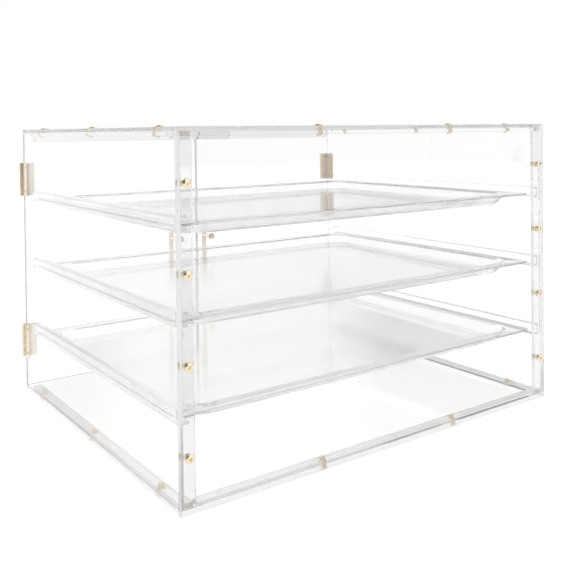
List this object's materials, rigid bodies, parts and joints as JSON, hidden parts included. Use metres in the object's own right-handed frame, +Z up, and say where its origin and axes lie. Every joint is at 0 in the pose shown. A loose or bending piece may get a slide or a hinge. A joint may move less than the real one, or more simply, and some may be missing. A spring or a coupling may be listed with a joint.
{
  "type": "countertop bread display bin",
  "caption": "Clear acrylic countertop case for bread, with sliding trays on channel rails and hinged doors with brass bar handles at the back.",
  "frame": {"origin": "middle of the underside of the case, on the countertop", "axes": "+X along the front towards the right end, +Y from the fixed front to the doors, +Z up"},
  "size_m": [0.542, 0.482, 0.358],
  "materials": {
    "clear_sheet": "clear acrylic sheet, polished",
    "clear_bar": "clear acrylic bar, polished",
    "clear_tray": "clear moulded plastic, glossy",
    "polished_brass": "polished"
  },
  "bodies": {
    "case": {"front_panel": "clear_sheet", "top_panel": "clear_sheet", "bottom_panel": "clear_sheet", "left_panel": "clear_sheet", "right_panel": "clear_sheet", "front_left_bar": "clear_bar", "front_right_bar": "clear_bar", "front_top_bar": "clear_bar", "front_bottom_bar": "clear_bar", "left_top_bar": "clear_bar", "right_top_bar": "clear_bar", "left_bottom_bar": "clear_bar", "right_bottom_bar": "clear_bar", "rear_header": "clear_bar", "door_stop": "clear_bar", "left_rail_upper": "clear_bar", "right_rail_upper": "clear_bar", "left_rail_middle": "clear_bar", "right_rail_middle": "clear_bar", "left_rail_lower": "clear_bar", "right_rail_lower": "clear_bar", "left_upper_hinge_case_leaf": "polished_brass", "left_lower_hinge_case_leaf": "polished_brass", "right_upper_hinge_case_leaf": "polished_brass", "right_lower_hinge_case_leaf": "polished_brass", "front_left_screw_1": "polished_brass", "front_left_screw_2": "polished_brass", "front_left_screw_3": "polished_brass", "front_left_screw_4": "polished_brass", "top_left_screw_1": "polished_brass", "top_left_screw_2": "polished_brass", "top_left_screw_3": "polished_brass", "bottom_left_screw_1": "polished_brass", "bottom_left_screw_2": "polished_brass", "bottom_left_screw_3": "polished_brass", "front_right_screw_1": "polished_brass", "front_right_screw_2": "polished_brass", "front_right_screw_3": "polished_brass", "front_right_screw_4": "polished_brass", "top_right_screw_1": "polished_brass", "top_right_screw_2": "polished_brass", "top_right_screw_3": "polished_brass", "bottom_right_screw_1": "polished_brass", "bottom_right_screw_2": "polished_brass", "bottom_right_screw_3": "polished_brass", "top_front_screw_1": "polished_brass", "top_front_screw_2": "polished_brass", "bottom_front_screw_1": "polished_brass", "bottom_front_screw_2": "polished_brass"},
    "left_door": {"left_door": "clear_sheet", "left_handle": "polished_brass", "left_upper_hinge_door_leaf": "polished_brass", "left_lower_hinge_door_leaf": "polished_brass"},
    "right_door": {"right_door": "clear_sheet", "right_handle": "polished_brass", "right_upper_hinge_door_leaf": "polished_brass", "right_lower_hinge_door_leaf": "polished_brass"},
    "tray_upper": {"tray_upper": "clear_tray"},
    "tray_middle": {"tray_middle": "clear_tray"},
    "tray_lower": {"tray_lower": "clear_tray"}
  },
  "joints": [
    {"name": "left_door_hinge", "type": "hinge", "parent": "case", "child": "left_door", "pos_m": [-0.2689, 0.2279, 0.178], "axis": [0, 0, 1], "range_deg": [0, 250]},
    {"name": "right_door_hinge", "type": "hinge", "parent": "case", "child": "right_door", "pos_m": [0.2689, 0.2279, 0.178], "axis": [0, 0, -1], "range_deg": [0, 250]},
    {"name": "tray_upper_slide", "type": "slide", "parent": "case", "child": "tray_upper", "axis": [0, 1, 0], "range_m": [0, 0.035]},
    {"name": "tray_middle_slide", "type": "slide", "parent": "case", "child": "tray_middle", "axis": [0, 1, 0], "range_m": [0, 0.035]},
    {"name": "tray_lower_slide", "type": "slide", "parent": "case", "child": "tray_lower", "axis": [0, 1, 0], "range_m": [0, 0.035]}
  ]
}
